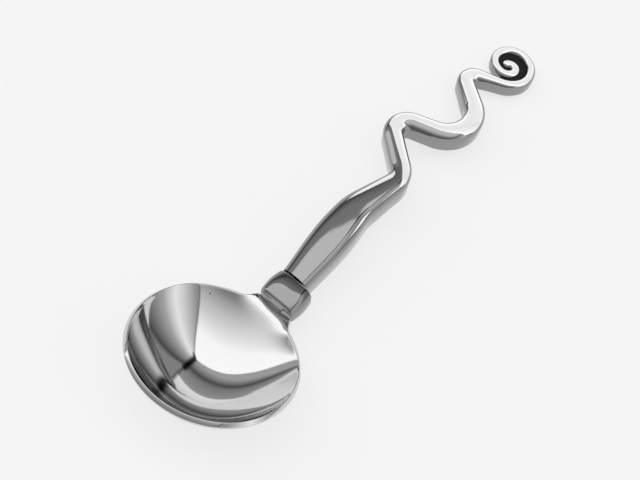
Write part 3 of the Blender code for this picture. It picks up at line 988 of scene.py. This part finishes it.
@dataclass(frozen=True)
class StudioSky:
    """Soft light all round: a wide overhead box, strips beyond it, a side sheet and a dark seam.

    Places are given on a level ceiling one unit above the ladle, where a panel's edge is a straight line. Each
    panel's light is a few levels by an angle in degrees.
    """

    box_lean: float = 0.31
    box_edge: float = 0.5
    box: tuple[tuple[float, float], ...] = (
        (-90.0, 0.2), (-60.0, 0.35), (-30.0, 0.95), (-5.0, 1.55), (25.0, 1.6),
    )
    strip_lean: float = 0.17
    strips: tuple[tuple[float, float], ...] = (
        (0.0, 0.5), (30.0, 0.55), (46.0, 0.1), (54.0, 0.3), (69.0, 0.45), (70.0, 1.2), (90.0, 0.8),
    )
    sheet_pole: tuple[float, float] = (0.6, 0.1)
    sheet: tuple[tuple[float, float], ...] = (
        (-180.0, 0.3), (-120.0, 0.45), (-92.0, 1.3), (-72.0, 0.6), (-38.0, 0.1), (-30.0, 0.35), (0.0, 0.35),
    )
    seam_slope: float = 1.04
    seam_base: float = -0.93
    seam_top: float = -0.3
    bar: tuple[float, float] = (0.55, 1.45)
    bar_fades: tuple[float, float] = (0.06, 0.3)
    bar_spread: float = 1.2
    seam_depth: float = 0.55
    bar_depth: float = 0.42
    seam_width: tuple[float, float] = (0.01, 0.05)
    box_blur: float = 0.008
    sheet_blur: float = 0.015
    horizon: float = 0.02
    strength: float = 0.92

    def build(self) -> None:
        """Make the world and its shader."""
        world = bpy.data.worlds.new("studio_sky")
        world.use_nodes = True
        bpy.context.scene.world = world
        make = NodeMaker(world.node_tree)
        background = world.node_tree.nodes["Background"]
        coords = make.add("ShaderNodeTexCoord")
        split = make.add("ShaderNodeSeparateXYZ")
        make.link(coords.outputs["Generated"], split.inputs["Vector"])
        high = make.maths("MAXIMUM", split.outputs["Z"], self.horizon)
        east = make.maths("DIVIDE", split.outputs["X"], high)
        north = make.maths("DIVIDE", split.outputs["Y"], high)
        box_place = make.maths("MULTIPLY_ADD", north, self.box_lean, east)
        box = make.degrees_ramp(make.maths("ARCTANGENT", box_place), self.box)
        strip_place = make.maths("MULTIPLY_ADD", north, self.strip_lean, east)
        strips = make.degrees_ramp(make.maths("ARCTANGENT", strip_place), self.strips)
        from_pole = make.maths("ADD", east, -self.sheet_pole[0])
        bearing = make.maths("ARCTAN2", make.maths("ADD", north, -self.sheet_pole[1]), from_pole)
        sheet = make.degrees_ramp(bearing, self.sheet)
        within = make.maths("MULTIPLY", make.maths("SUBTRACT", self.box_edge, box_place), high)
        over = make.mix(make.fade(within, -self.box_blur, self.box_blur), strips, box)
        slant = make.maths("MULTIPLY_ADD", east, self.seam_slope, self.seam_base)
        edge = make.maths("MINIMUM", slant, self.seam_top)
        beside = make.maths("MULTIPLY", make.maths("SUBTRACT", edge, north), high)
        both = make.mix(make.fade(beside, -self.sheet_blur, self.sheet_blur), over, sheet)
        start = make.fade(east, self.bar[0] - self.bar_fades[0], self.bar[0])
        stop = make.fade(east, self.bar[1], self.bar[1] + self.bar_fades[1])
        barred = make.maths("SUBTRACT", start, stop)
        spread = make.maths("MULTIPLY_ADD", barred, self.bar_spread, 1.0)
        aside = make.maths("DIVIDE", make.maths("ABSOLUTE", beside), spread)
        near = make.maths("SUBTRACT", 1.0, make.fade(aside, *self.seam_width))
        depth = make.maths("MULTIPLY_ADD", barred, self.bar_depth, self.seam_depth)
        kept = make.maths("SUBTRACT", 1.0, make.maths("MULTIPLY", near, depth))
        dark = make.add("ShaderNodeMix", data_type="RGBA", blend_type="MULTIPLY")
        dark.inputs["Factor"].default_value = 1.0
        make.link(both, dark.inputs["A"])
        make.link(kept, dark.inputs["B"])
        make.link(dark.outputs["Result"], background.inputs["Color"])
        background.inputs["Strength"].default_value = self.strength


@dataclass(frozen=True)
class Studio:
    """Pale floor, soft light and the camera."""

    floor_size: float = 3.0
    floor_grey: float = 0.85
    floor_white: float = 0.72
    floor_roughness: float = 0.9
    panel_place: tuple[float, float, float] = (102.0 * MM, 0.0, 48.0 * MM)
    panel_lean: float = math.radians(53.7)
    panel_height: float = 93.0 * MM
    panel_width: float = 260.0 * MM
    panel_glow: float = 2.4
    lens: float = 127.58
    distance: float = 600.0 * MM
    elevation: float = 45.81
    bearing: float = 24.5
    roll: float = 21.35
    middle: tuple[float, float] = (320.0, 240.0)
    target: tuple[float, float] = (214.3, 350.7)
    pixels: float = 2268.0
    sensor: float = 36.0
    clip: tuple[float, float] = (0.01, 20.0)

    def build_floor(self) -> bpy.types.Object:
        """Wide pale floor under the ladle."""
        bm = bmesh.new()
        bmesh.ops.create_grid(bm, x_segments=1, y_segments=1, size=self.floor_size / 2.0)
        floor = object_from(bm, "studio_floor")
        material, make, shader = new_surface("pale_floor")
        shader.inputs["Base Color"].default_value = (self.floor_grey, self.floor_grey, self.floor_grey, 1.0)
        shader.inputs["Roughness"].default_value = self.floor_roughness
        shader.inputs["Specular IOR Level"].default_value = 0.0
        path = make.add("ShaderNodeLightPath")
        seen = make.maths("MAXIMUM", path.outputs["Is Camera Ray"], path.outputs["Is Glossy Ray"])
        seen = make.maths("MAXIMUM", seen, path.outputs["Is Transmission Ray"])
        glow = make.add("ShaderNodeEmission", Strength=1.0)
        both = make.add("ShaderNodeMixShader")
        make.link(make.maths("MULTIPLY", seen, self.floor_white), both.inputs["Fac"])
        make.link(shader.outputs["BSDF"], both.inputs[1])
        make.link(glow.outputs["Emission"], both.inputs[2])
        output = material.node_tree.nodes["Material Output"]
        make.link(both.outputs["Shader"], output.inputs["Surface"])
        floor.data.materials.append(material)
        return floor

    def build_panel(self, lit: list[bpy.types.Object]) -> bpy.types.Object:
        """Soft low panel beyond the scroll, linked to the handle's pieces so that it lights nothing else.

        Args:
            lit: Pieces that the panel lights.

        Returns:
            The lamp object.
        """
        data = bpy.data.lights.new("end_panel", "AREA")
        data.shape = "RECTANGLE"
        data.size = self.panel_height
        data.size_y = self.panel_width
        data.energy = self.panel_glow * math.pi * self.panel_height * self.panel_width
        panel = bpy.data.objects.new("end_panel", data)
        bpy.context.scene.collection.objects.link(panel)
        panel.location = self.panel_place
        panel.rotation_euler = (0.0, self.panel_lean, 0.0)
        panel.visible_camera = False
        receivers = bpy.data.collections.new("panel_receivers")
        for piece in lit:
            receivers.objects.link(piece)
        panel.light_linking.receiver_collection = receivers
        return panel

    def build_camera(self, place: Matrix) -> bpy.types.Object:
        """Camera at the picture's viewing angle, with the bowl's middle at the target in the picture.

        Args:
            place: Turn and shift from the level frame to the floor's frame.

        Returns:
            The camera object.
        """
        rise = math.radians(self.elevation)
        bearing = math.radians(self.bearing)
        roll = math.radians(self.roll)
        ahead = Vector((math.cos(bearing), math.sin(bearing), 0.0))
        side = Vector((math.sin(bearing), -math.cos(bearing), 0.0))
        forward = ahead * math.cos(rise) - Vector((0.0, 0.0, math.sin(rise)))
        upright = ahead * math.sin(rise) + Vector((0.0, 0.0, math.cos(rise)))
        right = side * math.cos(roll) + upright * math.sin(roll)
        up = upright * math.cos(roll) - side * math.sin(roll)
        across = (self.target[0] - self.middle[0]) / self.pixels * self.distance
        down = (self.target[1] - self.middle[1]) / self.pixels * self.distance
        eye = -forward * self.distance - right * across + up * down
        turn = Matrix((right, up, -forward)).transposed()
        data = bpy.data.cameras.new("picture_camera")
        data.lens = self.lens
        data.sensor_width = self.sensor
        data.clip_start, data.clip_end = self.clip
        camera = bpy.data.objects.new("picture_camera", data)
        bpy.context.scene.collection.objects.link(camera)
        camera.matrix_world = place @ (Matrix.Translation(eye) @ turn.to_4x4())
        bpy.context.scene.camera = camera
        return camera


def dress(obj: bpy.types.Object, material: bpy.types.Material) -> None:
    """Give a piece one material on all its faces."""
    obj.data.materials.clear()
    obj.data.materials.append(material)


def main() -> None:
    """Build the ladle piece by piece, then the studio."""
    logging.basicConfig(level=logging.INFO)
    bpy.context.scene.view_settings.view_transform = "Standard"
    place = Placement().matrix()
    axis = HandleAxis()
    handle = Handle(axis)
    steel = PolishedMetal("polished_steel").material()
    # The casting's grey is set far below bright polished metal, and the collar's lower still, to darken the
    # handle's and collar's walls: painted shade, not the metal's own colour.
    cast = PolishedMetal("casting_with_painted_shade", grey=0.31, roughness=0.06, ripple=0.05).material()
    collar_shaded_metal = PolishedMetal("collar_with_painted_shade", grey=0.27).material()
    bowl_piece = Bowl(axis, handle.heading()).build(place)
    collar_piece = Collar(axis).build(place)
    handle_piece = handle.build(place)
    web_piece = handle.build_web(place)
    fill_piece = handle.build_fill(place)
    pieces = (
        (bowl_piece, steel, "bowl", Slot.BOWL_STEEL),
        # Collar and handle share one cast metal slot but get two differently darkened copies of it: painted
        # shade.
        (collar_piece, collar_shaded_metal, "collar", Slot.CAST_METAL),
        (handle_piece, cast, "handle", Slot.CAST_METAL),
        (web_piece, cast, None, Slot.CAST_METAL),
        (fill_piece, BlackFill().material(), "scroll_fill", Slot.BLACK_FILL),
    )
    for piece, material, node, slot in pieces:
        dress(piece, material)
        mount_piece(piece, node)
    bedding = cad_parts["tang_bedding"]
    cement = SetCement().material()
    for holder in bedding.material_slots:
        holder.material = cement
    studio = Studio()
    studio.build_floor()
    StudioSky().build()
    studio.build_panel([handle_piece, web_piece])
    studio.build_camera(place)


if __name__ == "__main__":
    main()
